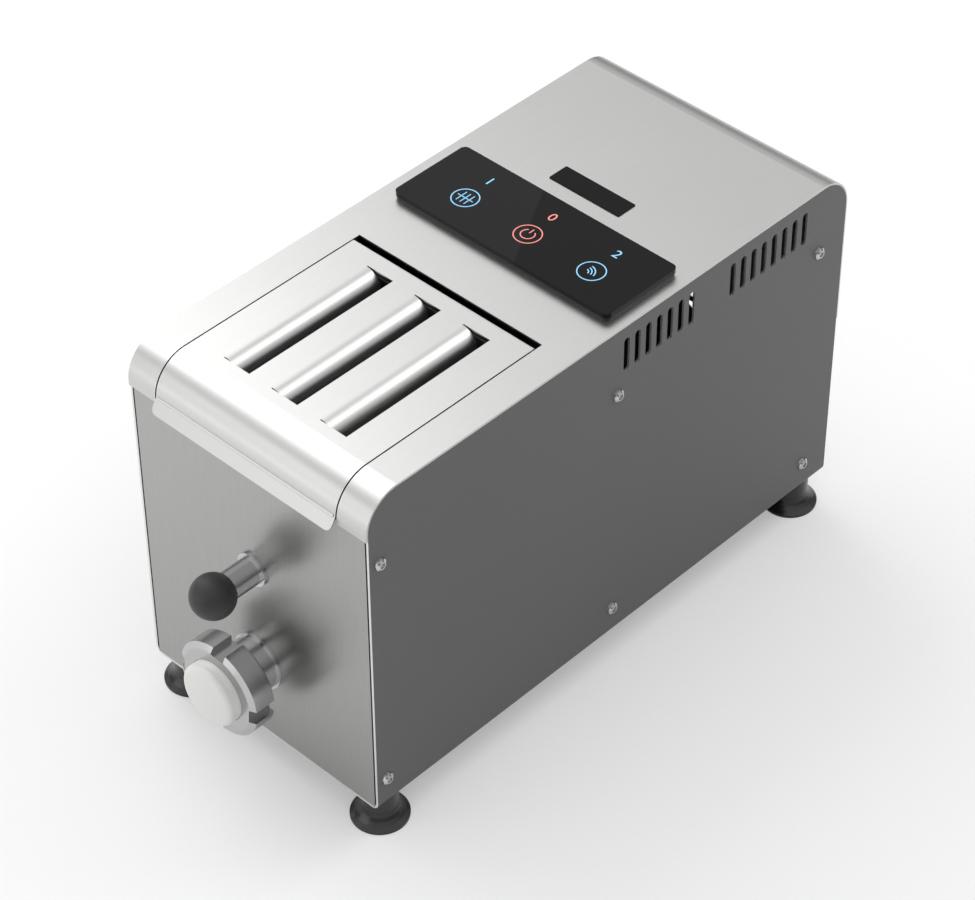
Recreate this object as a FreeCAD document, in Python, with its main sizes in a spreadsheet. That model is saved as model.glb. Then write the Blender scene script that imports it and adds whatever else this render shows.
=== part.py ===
import FreeCAD, Part

import math
import os
import re

import Sketcher

Vector = FreeCAD.Vector

doc = FreeCAD.newDocument("pasta_maker")

# Driving sizes in millimetres (angles in degrees, counts plain), grouped by the piece they belong to.
# Heights are measured up from the casing's underside and depths back from the front panel's face.
SIZES = {
    "casing": {
        "body_width": 240, "body_length": 509, "body_height": 303, "foot_height": 30,
        "casing_sheet": 2, "bend_radius": 7, "seat_gap": 0.05, "running_gap": 0.06,
    },
    "vents": {
        "vent_width": 6.2, "vent_height": 30, "vent_middle": 275.5, "vent_pitch": 11.75,
        "front_vent_start": 260.5, "front_vent_count": 7, "rear_vent_start": 377, "rear_vent_count": 8,
    },
    "screws": {
        "screw_radius": 2.9, "screw_head_radius": 5.3, "screw_head_height": 3.2, "screw_length": 12,
        "socket_radius": 2.3, "socket_depth": 1.8, "screw_low": 28, "screw_high": 242,
        "front_screw": 10, "rear_screw": 479,
    },
    "hood": {
        "hood_sheet": 1.5, "hood_radius": 30, "hood_inset": 0.3, "front_skirt": 268.6, "rear_skirt": 160,
    },
    "lid": {
        "lid_width": 180.5, "lid_depth": 198, "lid_side_gap": 1.2, "lid_rear_gap": 4.3,
        "lip_top": 274.5, "lip_drop": 10.4, "lip_out": 6.5, "lip_corner": 5,
        "slot_width": 26, "slot_length": 142, "slot_start": 38.8, "slot_pitch": 48.3,
        "louvre_radius": 14.5, "louvre_drop": 1.5, "lid_flange": 8, "flange_start": 32,
        "knuckle_radius": 4, "hinge_pin_radius": 2.5, "ear_thickness": 3, "ear_depth": 13,
    },
    "panels": {
        "panel_gap": 1.4, "panel_top": 271, "panel_flange": 19, "rear_flange": 40, "bulkhead_flange": 15,
        "bulkhead_screw": 8,
    },
    "tub": {
        "tub_sheet": 2, "tub_front": 4, "tub_inside": 190, "tub_radius": 62, "tub_top": 280,
        "tub_mouth": 164, "rim_width": 12, "throat_width": 34,
    },
    "mixer": {
        "mixer_height": 165.6, "hub_radius": 14, "hub_front_gap": 6, "arm_radius": 59, "arm_thickness": 7,
        "arm_width": 13, "arm_count": 5, "arm_turn": 36, "tang_side": 12, "tang_length": 14,
    },
    "auger": {
        "auger_radius": 16.6, "auger_core": 8, "auger_pitch": 40, "flight_thickness": 3.5,
        "auger_front": -27, "shaft_radius": 10, "auger_gap": 0.4,
    },
    "drive": {
        "gear_module": 2, "gear_teeth": 28, "pinion_teeth": 18, "gear_width": 12, "tooth_backlash": 0.25,
        "gear_side_gap": 8, "plate_thickness": 8, "seal_room": 2, "plate_width": 124,
        "bearing_radius": 17.5, "bearing_width": 8, "pillar_radius": 6, "pillar_across": 104,
        "gearhead_size": 96, "gearhead_length": 48, "motor_radius": 50, "motor_length": 118,
        "rib_height": 5, "rib_count": 20, "end_cap_length": 14, "fan_radius": 42, "fan_length": 12,
        "fan_blades": 7, "fan_cover_length": 30, "cover_sheet": 1.2,
    },
    "outlet": {
        "barrel_neck": 22, "barrel_head": 30, "head_front": -33.8, "head_rear": -24, "barrel_flange": 24,
        "flange_thickness": 2.5, "nut_radius": 40, "nut_front": -43.2, "nut_rear": -22.6, "nut_face": 35.3,
        "nut_chamfer": 2.5, "nut_mouth": 26.2, "nut_shoulder": 5.2, "notch_width": 12.6, "notch_depth": 6,
        "notch_turn": 85, "die_radius": 25.8, "die_flange": 29, "die_flange_thickness": 3.5,
               "die_front": -54,
        "die_crown": 2, "seal_radius": 1.5,
    },
    "pin": {
        "pin_radius": 11.25, "pin_tip_radius": 8, "pin_tip_length": 22, "ball_radius": 17.5,
            "ball_out": 39.3,
        "bush_radius": 14, "bush_sleeve": 13,
    },
    "controls": {
        "glass_width": 214, "glass_depth": 77, "glass_start": 250.6, "glass_thickness": 4,
                 "glass_corner": 5,
        "control_offset": 2, "frame_thickness": 3, "board_width": 180, "board_depth": 48,
                 "board_thickness": 1.6,
    },
    "electrics": {
        "board_start": 330, "board_low": 130, "board_length": 110, "board_tall": 80, "board_inset": 8,
        "post_radius": 3, "capacitor_radius": 20, "capacitor_height": 75, "capacitor_start": 340,
        "capacitor_inset": 18, "inlet_across": 48, "inlet_height": 70, "inlet_width": 27,
                  "inlet_tall": 19.4,
        "inlet_depth": 28, "inlet_wall": 1.5, "inlet_lip_width": 50, "inlet_lip_tall": 24,
        "grille_count": 9, "grille_high": 150, "grille_length": 70, "grille_inset": 40,
    },
    "feet": {
        "foot_inset_x": 18.2, "foot_inset_y": 19, "foot_hub": 14.5, "foot_flare": 22.7, "hub_height": 19,
        "foot_lip": 2.2, "cup_depth": 5, "stud_radius": 4,
    },
}

sizes = doc.addObject("Spreadsheet::Sheet", "Sizes")
row = 1
for piece, values in SIZES.items():
    for alias, number in values.items():
        sizes.set("A%d" % row, alias.replace("_", " "))
        sizes.set("B%d" % row, str(number))
        sizes.setAlias("B%d" % row, alias)
        row += 1

# Places that follow from the sizes. Y runs back from the front face and Z up from the surface it stands on.
PLACES = {
    "knob_reach": "ball_out + ball_radius",
    "rear_reach": "body_length - foot_inset_y + foot_flare",
    "front_face": "(knob_reach - rear_reach) / 2",
    "rear_face": "front_face + body_length",
    "half_width": "body_width / 2",
    "inner_half": "half_width - casing_sheet - seat_gap",
    "top": "foot_height + body_height",
    "under_top": "top - hood_sheet",
    "lid_half": "lid_width / 2",
    "lid_rear": "front_face + lid_depth",
    "hinge_y": "lid_rear - knuckle_radius",
    "hinge_z": "top - knuckle_radius - 0.3",
    "mixer_z": "foot_height + mixer_height",
    "auger_height": "mixer_height - (gear_teeth + pinion_teeth) * gear_module",
    "auger_z": "foot_height + auger_height",
    "pinion_z": "mixer_z - (gear_teeth + pinion_teeth) * gear_module / 2",
    "tub_back": "tub_front + tub_sheet + tub_inside",
    "tub_end": "tub_back + tub_sheet",
    "bore_end": "tub_back - 6",
    "plate_start": "tub_end + seal_room",
    "gear_start": "plate_start + plate_thickness + gear_side_gap",
    "bulkhead_depth": "gear_start + gear_width + gear_side_gap + plate_thickness",
    "middle_screw": "bulkhead_depth + bulkhead_screw",
    "front_plate_y": "front_face + plate_start",
    "gear_y": "front_face + gear_start",
    "bulkhead_y": "front_face + bulkhead_depth",
    "rear_plate_y": "bulkhead_y - plate_thickness",
    "gearhead_y": "bulkhead_y + casing_sheet",
    "motor_y": "gearhead_y + gearhead_length",
    "end_cap_y": "motor_y + motor_length",
    "fan_y": "end_cap_y + end_cap_length + 4",
    "hub_front": "front_face + tub_front + tub_sheet + hub_front_gap",
    "hub_back": "front_face + tub_back - 4",
    "foot_x": "half_width - foot_inset_x",
    "foot_front_y": "front_face + foot_inset_y",
    "foot_rear_y": "rear_face - foot_inset_y",
    "control_z": "top + frame_thickness",
    "bore_radius": "auger_radius + auger_gap",
}

OWNER = {alias: "Sizes" for values in SIZES.values() for alias in values}
OWNER.update({alias: "Places" for alias in PLACES})


def formula(text):
    """The text with every size and place named with its sheet."""
    def owned(word):
        name = word.group()
        return OWNER[name] + "." + name if name in OWNER else name
    return re.sub(r"[a-z][a-z0-9_]*", owned, str(text))


places = doc.addObject("Spreadsheet::Sheet", "Places")
for row, (alias, text) in enumerate(PLACES.items(), 1):
    own = re.sub(r"Places\.", "", formula(text))
    places.set("A%d" % row, alias.replace("_", " "))
    places.setAlias("B%d" % row, alias)
    places.set("B%d" % row, "=" + own)
doc.recompute()


def number(alias):
    """The number that a size or a place holds now."""
    sheet = sizes if OWNER[alias] == "Sizes" else places
    return float(sheet.get(alias))


def bind(thing, **formulas):
    for property_name, text in formulas.items():
        thing.setExpression(property_name, formula(text))


def move(thing, x, y, z):
    thing.setExpression("Placement.Base.x", formula(x))
    thing.setExpression("Placement.Base.y", formula(y))
    thing.setExpression("Placement.Base.z", formula(z))
    return thing


def fresh(type_name, name):
    thing = doc.addObject(type_name, name)
    thing.Label = name
    return thing


def box(name, x, y, z, width, depth, height):
    """Block with its low corner at x, y, z."""
    block = fresh("Part::Box", name)
    bind(block, Length=width, Width=depth, Height=height)
    return move(block, x, y, z)


TURN_TO = {
    "x": FreeCAD.Rotation(Vector(0, 1, 0), 90),
    "y": FreeCAD.Rotation(Vector(1, 0, 0), -90),
    "z": FreeCAD.Rotation(),
}


def rod(name, axis, x, y, z, radius, length):
    """Cylinder that starts at x, y, z and runs along the axis."""
    bar = fresh("Part::Cylinder", name)
    bar.Placement = FreeCAD.Placement(Vector(), TURN_TO[axis])
    bind(bar, Radius=radius, Height=length)
    return move(bar, x, y, z)


def cut(name, base, *tools):
    """The base with the tools taken out of it."""
    piece = fresh("Part::Cut", name)
    piece.Base = base
    piece.Tool = tools[0] if len(tools) == 1 else group(name + "_tools", *tools)
    return piece


def join(name, *solids):
    piece = fresh("Part::MultiFuse", name)
    piece.Shapes = list(solids)
    piece.Refine = True
    return piece


def common(name, *solids):
    piece = fresh("Part::MultiCommon", name)
    piece.Shapes = list(solids)
    return piece


def group(name, *solids):
    """Separate solids kept as they are in one node."""
    piece = fresh("Part::Compound", name)
    piece.Links = list(solids)
    return piece


def rounded(name, base, radius, chosen):
    """The base with the edges that pass the test rounded."""
    doc.recompute()
    piece = fresh("Part::Fillet", name)
    piece.Base = base
    edges = [index for index, edge in enumerate(base.Shape.Edges, 1) if chosen(edge)]
    piece.Edges = [(index, radius, radius) for index in edges]
    return piece


def runs_along(edge, axis):
    """True for a straight edge along the axis."""
    if not isinstance(edge.Curve, Part.Line):
        return False
    return abs(abs(edge.Curve.Direction.dot(axis)) - 1) < 1e-6


def outline(body, plane, corners):
    """Closed sketch through the corners, each held by its two distances from the body's origin."""
    sketch = body.newObject("Sketcher::SketchObject", body.Name + "_outline")
    sketch.AttachmentSupport = ([f for f in body.Origin.OriginFeatures if f.Role == plane][0], [""])
    sketch.MapMode = "FlatFace"
    count = len(corners)
    turns = [2 * math.pi * index / count for index in range(count)]
    start = [Vector(50 * math.cos(turn), 50 * math.sin(turn), 0) for turn in turns]
    for index in range(count):
        sketch.addGeometry(Part.LineSegment(start[index], start[(index + 1) % count]))
    for index in range(count):
        sketch.addConstraint(Sketcher.Constraint("Coincident", index, 2, (index + 1) % count, 1))
    for index, (across, up) in enumerate(corners):
        for kind, text, value in (("DistanceX", across, start[index].x), ("DistanceY", up, start[index].y)):
            held = sketch.addConstraint(Sketcher.Constraint(kind, -1, 1, index, 1, value))
            sketch.setExpression("Constraints[%d]" % held, formula(text))
    return sketch


def turned(name, axis, x, y, z, corners):
    """Solid of revolution about the axis through x, y, z. Corners are (place along the axis, radius)."""
    body = fresh("PartDesign::Body", name)
    if axis == "z":
        sketch = outline(body, "XZ_Plane", [(radius, along) for along, radius in corners])
    else:
        sketch = outline(body, "YZ_Plane", corners)
    turn = body.newObject("PartDesign::Revolution", name + "_turn")
    turn.Profile = sketch
    turn.ReferenceAxis = (sketch, ["V_Axis" if axis == "z" else "H_Axis"])
    turn.Angle = 360
    if axis == "x":
        body.Placement = FreeCAD.Placement(Vector(), FreeCAD.Rotation(Vector(0, 0, 1), -90))
    return move(body, x, y, z)


def padded(name, plane, x, y, z, corners, length, radius=None, chosen=None):
    """Flat outline padded both ways from its plane, with the chosen edges rounded."""
    body = fresh("PartDesign::Body", name)
    sketch = outline(body, plane, corners)
    pad = body.newObject("PartDesign::Pad", name + "_pad")
    pad.Profile = sketch
    pad.Midplane = True
    bind(pad, Length=length)
    if radius:
        doc.recompute()
        edges = ["Edge%d" % index for index, edge in enumerate(pad.Shape.Edges, 1) if chosen(edge)]
        soft = body.newObject("PartDesign::Fillet", name + "_soft")
        soft.Base = (pad, edges)
        bind(soft, Radius=radius)
    return move(body, x, y, z)


def ring(name, axis, x, y, z, inside, outside, length):
    """Plain ring from the point x, y, z on along the axis."""
    return turned(name, axis, x, y, z, [("0", inside), ("0", outside), (length, outside), (length, inside)])


def spokes(name, count, first, reach, width, depth, height):
    """Equal blocks around the Y axis, each pointing away from it, the first one at this angle in degrees."""
    block = box(name + "_block", reach, "0", "-(%s) / 2" % height, width, depth, height)
    arms = []
    for index in range(count):
        arm = group("%s_%d" % (name, index + 1), block)
        arm.Placement = FreeCAD.Placement(Vector(), FreeCAD.Rotation(Y_AXIS,
                                                                     -first - 360.0 * index / count))
        arms.append(arm)
    return group(name, *arms)


X_AXIS = Vector(1, 0, 0)
Y_AXIS = Vector(0, 1, 0)
Z_AXIS = Vector(0, 0, 1)
nodes = []


def upper_cross(edge):
    """True for an edge across the body, above the mixer."""
    return runs_along(edge, X_AXIS) and edge.CenterOfMass.z > number("mixer_z")


def lower_long(edge):
    """True for an edge along the body, below the mixer."""
    return runs_along(edge, Y_AXIS) and edge.CenterOfMass.z < number("mixer_z")


def node(piece, label=None):
    """Marks a finished piece for export under its own label."""
    piece.Label = label or piece.Name
    nodes.append(piece)
    return piece


# Casing: one sheet bent up at both sides, its side walls rounded to follow the hood.
def vent_slots(name, start, count):
    """Row of upright slots with round ends, cut straight through both side walls."""
    body = fresh("PartDesign::Body", name)
    sketch = outline(body, "YZ_Plane", [
        ("-vent_width / 2", "-vent_height / 2"), ("vent_width / 2", "-vent_height / 2"),
        ("vent_width / 2", "vent_height / 2"), ("-vent_width / 2", "vent_height / 2")])
    pad = body.newObject("PartDesign::Pad", name + "_pad")
    pad.Profile = sketch
    pad.Midplane = True
    bind(pad, Length="body_width + 20")
    doc.recompute()
    edges = ["Edge%d" % index for index, edge in enumerate(pad.Shape.Edges, 1) if runs_along(edge, X_AXIS)]
    ends = body.newObject("PartDesign::Fillet", name + "_ends")
    ends.Base = (pad, edges)
    bind(ends, Radius="vent_width * 0.49")
    doc.recompute()
    row = body.newObject("PartDesign::LinearPattern", name + "_row")
    row.Originals = [pad, ends]
    row.Direction = (sketch, ["H_Axis"])
    bind(row, Length="vent_pitch * (%s - 1)" % count, Occurrences=count)
    body.Tip = row
    return move(body, "0", "front_face + " + start, "foot_height + vent_middle")


def side_wrap(name, half, inset, low, high, radius):
    """Block with its two top edges rounded, inset from the hood's outer faces."""
    block = box(name + "_block", "-" + half, "front_face - hood_sheet + " + inset, low, "2 * " + half,
                "body_length + 2 * hood_sheet - 2 * %s" % inset, "%s - %s" % (high, low))
    return rounded(name, block, radius, upper_cross)


def casing():
    wrap = side_wrap("casing_wrap", "half_width", "(hood_sheet + seat_gap)", "foot_height",
                     "under_top - seat_gap", number("hood_radius") - number("hood_sheet"))
    shape = rounded("casing_shape", wrap, number("bend_radius"), lower_long)
    room = box("casing_room_block", "-half_width + casing_sheet", "front_face - 5",
               "foot_height + casing_sheet",
               "body_width - 2 * casing_sheet", "body_length + 10", "body_height")
    inside = rounded("casing_room", room, number("bend_radius") - number("casing_sheet"), lower_long)
    holes = []
    for column in ("front_screw", "middle_screw", "rear_screw"):
        for line in ("screw_low", "screw_high"):
            holes.append(rod("casing_hole_%s_%s" % (column, line), "x", "-half_width - 5",
                             "front_face + " + column,
                             "foot_height + " + line, "screw_radius + seat_gap", "body_width + 10"))
    for side in ("-", ""):
        for end in ("foot_front_y", "foot_rear_y"):
            holes.append(rod("casing_foot_hole_%s%s" % ("left" if side else "right", end), "z",
                             side + "foot_x", end,
                             "foot_height - 5", "stud_radius + seat_gap", "20"))
    vents = [vent_slots("front_vents", "front_vent_start", "front_vent_count"),
             vent_slots("rear_vents", "rear_vent_start", "rear_vent_count")]
    return node(cut("casing", shape, inside, *holes, *vents))


casing()


# Hood: one sheet wrapped over the top, with a front mouth that the lid fills.
def hood_shell(name, half):
    outer = side_wrap(name + "_outer", half, "0", "foot_height", "top", number("hood_radius"))
    room = box(name + "_room_block", "-half_width - 5", "front_face", "foot_height - 5", "body_width + 10",
               "body_length", "under_top - foot_height + 5")
    inner = rounded(name + "_room", room, number("hood_radius") - number("hood_sheet"), upper_cross)
    return outer, inner


def hood():
    outer, inner = hood_shell("hood", "(half_width - hood_inset)")
    front = box("hood_front_cut", "-half_width - 5", "front_face - 10", "foot_height - 5",
                "body_width + 10", "body_length / 2", "front_skirt + 5")
    rear = box("hood_rear_cut", "-half_width - 5", "front_face + body_length / 4", "foot_height - 5",
               "body_width + 10", "body_length", "rear_skirt + 5")
    mouth = box("hood_mouth", "-lid_half - lid_side_gap", "front_face - 10", "foot_height",
                "lid_width + 2 * lid_side_gap", "10 + lid_depth + lid_rear_gap", "body_height + 10")
    window = box("hood_window", "control_offset - board_width / 2 - 3",
                 "front_face + glass_start + (glass_depth - board_depth) / 2 - 3", "top - 10",
                 "board_width + 6", "board_depth + 6", "20")
    return node(cut("hood", outer, inner, front, rear, mouth, window))


hood()


# Lid: the same sheet curve, three slots with one long edge rolled down, and a flared lip to lift it by.
def lid():
    outer, inner = hood_shell("lid_shell", "lid_half")
    keep = box("lid_keep", "-lid_half", "front_face - hood_sheet", "foot_height + lip_top", "lid_width",
               "lid_depth - knuckle_radius + hood_sheet + 1", "body_height - lip_top")
    sheet = common("lid_sheet", cut("lid_shell", outer, inner), keep)
    lip = padded("lid_lip", "YZ_Plane", "0", "front_face", "foot_height + lip_top", [
        ("-hood_sheet", "0"), ("0", "0"), ("-lip_out", "-lip_drop - 0.7"), ("-lip_out - hood_sheet",
            "-lip_drop")],
        "lid_width", "lip_corner", lambda edge: edge.Length < number("hood_sheet") * 1.4
        and edge.CenterOfMass.z < -number("lip_drop") * 0.8 and not runs_along(edge, X_AXIS))
    knuckle = rod("lid_knuckle", "x", "-lid_half", "hinge_y", "hinge_z", "knuckle_radius", "lid_width")
    flanges = []
    for side, start in (("left", "-lid_half"), ("right", "lid_half - hood_sheet")):
        flanges.append(box("lid_flange_" + side, start, "front_face + flange_start",
                           "under_top - lid_flange",
                           "hood_sheet", "lid_depth - flange_start - 2 * knuckle_radius",
                           "lid_flange + 0.5"))
    slots = []
    louvres = []
    for index in (-1, 0, 1):
        left = "(%d * slot_pitch - slot_width / 2)" % index
        tag = "_%d" % (index + 2)
        slots.append(box("lid_slot" + tag, left, "front_face + slot_start", "top - 10", "slot_width",
                         "slot_length", "20"))
        roll = rod("louvre_roll" + tag, "y", left, "front_face + slot_start + 1", "top - louvre_radius",
                   "louvre_radius", "slot_length - 2")
        core = rod("louvre_core" + tag, "y", left, "front_face + slot_start", "top - louvre_radius",
                   "louvre_radius - hood_sheet", "slot_length")
        quarter = box("louvre_quarter" + tag, left, "front_face + slot_start", "top - louvre_radius",
                      "louvre_radius", "slot_length", "louvre_radius")
        louvres.append(common("louvre_bend" + tag, cut("louvre_tube" + tag, roll, core), quarter))
        louvres.append(box("louvre_leg" + tag, left + " + louvre_radius - hood_sheet",
                           "front_face + slot_start + 1",
                           "top - louvre_radius - louvre_drop", "hood_sheet", "slot_length - 2",
                           "louvre_drop"))
    bore = rod("lid_bore", "x", "-lid_half - 5", "hinge_y", "hinge_z", "hinge_pin_radius + running_gap",
               "lid_width + 10")
    plate = cut("lid_plate", sheet, *slots)
    return node(join("lid", plate, lip, cut("lid_barrel", knuckle, bore), *flanges, *louvres))


def lid_bumpers():
    """Two rubber posts on the tub's rim that the lid's side flanges come to rest on."""
    return node(group("lid_bumpers", *[
        rod("lid_bumper_" + name, "z", side + "(lid_half - 1)", "front_face + 60",
            "foot_height + tub_top + seat_gap", "4.5",
            "under_top - lid_flange - foot_height - tub_top - 0.35") for name, side in (("left", "-"),
                ("right", ""))]))


def lid_hinge():
    reach = "lid_half + lid_side_gap + ear_thickness + 1"
    node(rod("lid_hinge_pin", "x", "-(%s)" % reach, "hinge_y", "hinge_z", "hinge_pin_radius",
             "2 * (%s)" % reach))
    ears = []
    for side, start in (("left", "-lid_half - lid_side_gap - ear_thickness - 0.4"), ("right",
        "lid_half + lid_side_gap + 0.4")):
        plate = box("ear_plate_" + side, start, "hinge_y - ear_depth / 2", "hinge_z - 7", "ear_thickness",
                    "ear_depth", "under_top - hinge_z + 7 - seat_gap")
        hole = rod("ear_hole_" + side, "x", start + " - 1", "hinge_y", "hinge_z",
                   "hinge_pin_radius + seat_gap", "ear_thickness + 2")
        ears.append(cut("ear_" + side, plate, hole))
    node(group("lid_hinge_ears", *ears))


lid()
lid_hinge()
lid_bumpers()


# Sheet panels: the front and rear pans and the bulkhead, each with flanges that the side screws pull on.
def pan(name, outer, inward, top, flange, holes):
    """Upright sheet whose side flanges step back behind it and run inward along the casing walls."""
    back = "%s" if inward > 0 else "%s - casing_sheet"
    face = box(name + "_face", "-inner_half + panel_gap", back % outer,
               "foot_height + casing_sheet + seat_gap", "2 * (inner_half - panel_gap)", "casing_sheet",
               top + " - foot_height - casing_sheet - seat_gap")
    step_start = outer + (" + casing_sheet" if inward > 0 else " - 2 * casing_sheet")
    flange_start = outer + (" + casing_sheet" if inward > 0 else " - " + flange)
    low = "foot_height + bend_radius + 2"
    high = "screw_high + 8 - bend_radius"
    sides = []
    for side, step, edge in (("left", "-inner_half", "-inner_half"),
                             ("right", "inner_half - casing_sheet - panel_gap",
                              "inner_half - casing_sheet")):
        sides.append(box(name + "_step_" + side, step, step_start, low, "casing_sheet + panel_gap",
                         "casing_sheet", high))
        sides.append(box(name + "_flange_" + side, edge, flange_start, low, "casing_sheet",
                         flange + " - casing_sheet",
                         high))
    return cut(name, join(name + "_folded", face, *sides), *holes)


def flange_holes(name, column):
    return [rod("%s_hole_%s" % (name, line), "x", "-half_width", "front_face + " + column,
                "foot_height + " + line,
                "screw_radius + seat_gap", "body_width") for line in ("screw_low", "screw_high")]


def front_panel():
    holes = flange_holes("front", "front_screw")
    holes.append(rod("front_bush_hole", "y", "0", "front_face - 5", "mixer_z", "bush_sleeve + seat_gap",
                     "20"))
    holes.append(rod("front_barrel_hole", "y", "0", "front_face - 5", "auger_z", "barrel_neck + seat_gap",
                     "20"))
    return node(pan("front_panel", "front_face + seat_gap", 1, "foot_height + panel_top", "panel_flange",
                    holes))


def rear_panel():
    holes = flange_holes("rear", "rear_screw")
    for index in range(int(number("grille_count"))):
        holes.append(box("rear_grille_%d" % (index + 1), "-half_width + grille_inset", "rear_face - 10",
                         "foot_height + grille_high - %d * vent_pitch" % index, "grille_length", "20",
                         "vent_width"))
    holes.append(box("inlet_cutout", "inlet_across - inlet_width / 2 - 0.3", "rear_face - 10",
                     "foot_height + inlet_height - inlet_tall / 2 - 0.3", "inlet_width + 0.6", "20",
                     "inlet_tall + 0.6"))
    return node(pan("rear_panel", "rear_face - seat_gap", -1, "under_top - hood_radius", "rear_flange",
                    holes))


def bulkhead():
    holes = flange_holes("bulkhead", "middle_screw")
    holes.append(rod("bulkhead_shaft_hole", "y", "0", "bulkhead_y - 5", "pinion_z", "shaft_radius + 2",
                     "20"))
    for height in ("mixer_z", "auger_z"):
        holes.append(rod("bulkhead_end_hole_" + height, "y", "0", "bulkhead_y - 5", height,
                         "shaft_radius + 2", "20"))
    return node(pan("bulkhead", "bulkhead_y", 1, "under_top - 2", "bulkhead_flange", holes))


front_panel()
rear_panel()
bulkhead()


# Mixing tub: sloping walls that run into a round bottom about the mixer's axis, with a throat over the auger.
def tub():
    slope = math.radians(6.5)
    shoulder = number("tub_radius") * math.cos(slope)
    rise = number("tub_radius") * math.sin(slope)

    def section(name, extra, depth, start, top):
        walls = padded(name + "_walls", "XZ_Plane", "0", start + " + (%s) / 2" % depth, "mixer_z", [
            ("-%r - (%s)" % (shoulder, extra), "%r" % -rise), ("%r + (%s)" % (shoulder, extra),
                                                               "%r" % -rise),
            ("tub_mouth / 2 + (%s)" % extra, top), ("-tub_mouth / 2 - (%s)" % extra, top)], depth)
        bottom = rod(name + "_bottom", "y", "0", start, "mixer_z", "tub_radius + (%s)" % extra, depth)
        return join(name, walls, bottom)

    outer = section("tub_outer", "tub_sheet", "tub_inside + 2 * tub_sheet", "front_face + tub_front",
                    "foot_height + tub_top - mixer_z")
    inner = section("tub_inner", "0", "tub_inside", "front_face + tub_front + tub_sheet",
                    "foot_height + tub_top - mixer_z + 1")
    rims = []
    for side, start in (("left", "-tub_mouth / 2 - tub_sheet - rim_width"), ("right", "tub_mouth / 2")):
        rims.append(box("tub_rim_" + side, start, "front_face + tub_front + 20",
                        "foot_height + tub_top - tub_sheet",
                        "rim_width + tub_sheet", "tub_inside + 2 * tub_sheet - 20", "tub_sheet"))
    throat = box("tub_throat", "-bore_radius", "front_face + tub_front + tub_sheet + 8", "auger_z",
                 "2 * bore_radius", "tub_inside - 16", "mixer_z - auger_z - 20")
    front_hole = rod("tub_front_hole", "y", "0", "front_face", "mixer_z", "bush_sleeve + seat_gap", "20")
    back_hole = rod("tub_back_hole", "y", "0", "front_face + tub_back - 5", "mixer_z",
                    "bearing_radius + seat_gap", "20")
    solid = cut("tub_shell", join("tub_blank", outer, *rims), inner)
    return node(cut("tub", solid, throat, front_hole, back_hole))


# Tub rails: angles from the front panel to the bulkhead that carry the tub's rim.
def tub_rails():
    rails = []
    for side, shelf, leg in (("left", "-inner_half + casing_sheet + seat_gap",
                              "-inner_half + casing_sheet + seat_gap"),
                             ("right", "tub_mouth / 2 + tub_sheet + 4",
                              "inner_half - 2 * casing_sheet - seat_gap")):
        width = "inner_half - tub_mouth / 2 - tub_sheet - casing_sheet - seat_gap - 4"
        flat = box("rail_flat_" + side, shelf, "front_face + casing_sheet + seat_gap",
                   "foot_height + tub_top - 2 * tub_sheet - seat_gap", width,
                   "bulkhead_depth - casing_sheet - 2 * seat_gap", "tub_sheet")
        upright = box("rail_leg_" + side, leg, "front_face + casing_sheet + seat_gap",
                      "foot_height + tub_top - tub_sheet - seat_gap - 18", "casing_sheet",
                      "bulkhead_depth - casing_sheet - 2 * seat_gap", "18")
        rails.append(join("rail_" + side, flat, upright))
    return node(group("tub_rails", *rails))


tub()
tub_rails()


# Extrusion barrel: a trough under the throat that runs into a round tube and a wide head for the ring nut.
def barrel():
    wall = "barrel_neck"
    body_start = "front_face + tub_front"
    tube = turned("barrel_tube", "y", "0", "front_face", "auger_z", [
        ("head_front", "0"), ("head_front", "barrel_head"), ("head_rear", "barrel_head"),
        ("head_rear + 3", "barrel_neck"), ("tub_end", "barrel_neck"), ("tub_end", "0")])
    cheeks = box("barrel_cheeks", "-" + wall, body_start, "auger_z", "2 * " + wall,
                 "tub_inside + 2 * tub_sheet", "mixer_height - auger_height - tub_radius + 12")
    around_tub = rod("barrel_tub_seat", "y", "0", "front_face", "mixer_z",
                     "tub_radius + tub_sheet + seat_gap", "tub_back + 10")
    bore = rod("barrel_bore", "y", "0", "front_face + head_front - 5", "auger_z", "bore_radius",
               "bore_end - head_front + 5")
    throat = box("barrel_throat", "-bore_radius", "front_face + tub_front + tub_sheet + 8", "auger_z",
                 "2 * bore_radius", "tub_inside - 16", "mixer_height - auger_height")
    shaft_hole = rod("barrel_shaft_hole", "y", "0", "front_face + bore_end - 5", "auger_z",
                     "shaft_radius + running_gap", "20")
    return node(cut("extrusion_barrel", join("barrel_blank", tube, cheeks), around_tub, bore, throat,
                    shaft_hole))


def ring_nut():
    body = turned("nut_blank", "y", "0", "front_face", "auger_z", [
        ("nut_front", "nut_mouth"), ("nut_front", "nut_face"), ("nut_front + nut_chamfer", "nut_radius"),
        ("nut_rear - 1", "nut_radius"), ("nut_rear", "nut_radius - 1"), ("nut_rear",
            "barrel_head + running_gap"),
        ("nut_front + nut_shoulder", "barrel_head + running_gap"), ("nut_front + nut_shoulder",
                                                                    "nut_mouth")])
    notches = spokes("nut_notches", 4, number("notch_turn"), "nut_radius - notch_depth", "notch_depth + 10",
                     "nut_rear - nut_front + 10", "notch_width")
    move(notches, "0", "front_face + nut_front - 5", "auger_z")
    return node(cut("ring_nut", body, notches))


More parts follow.
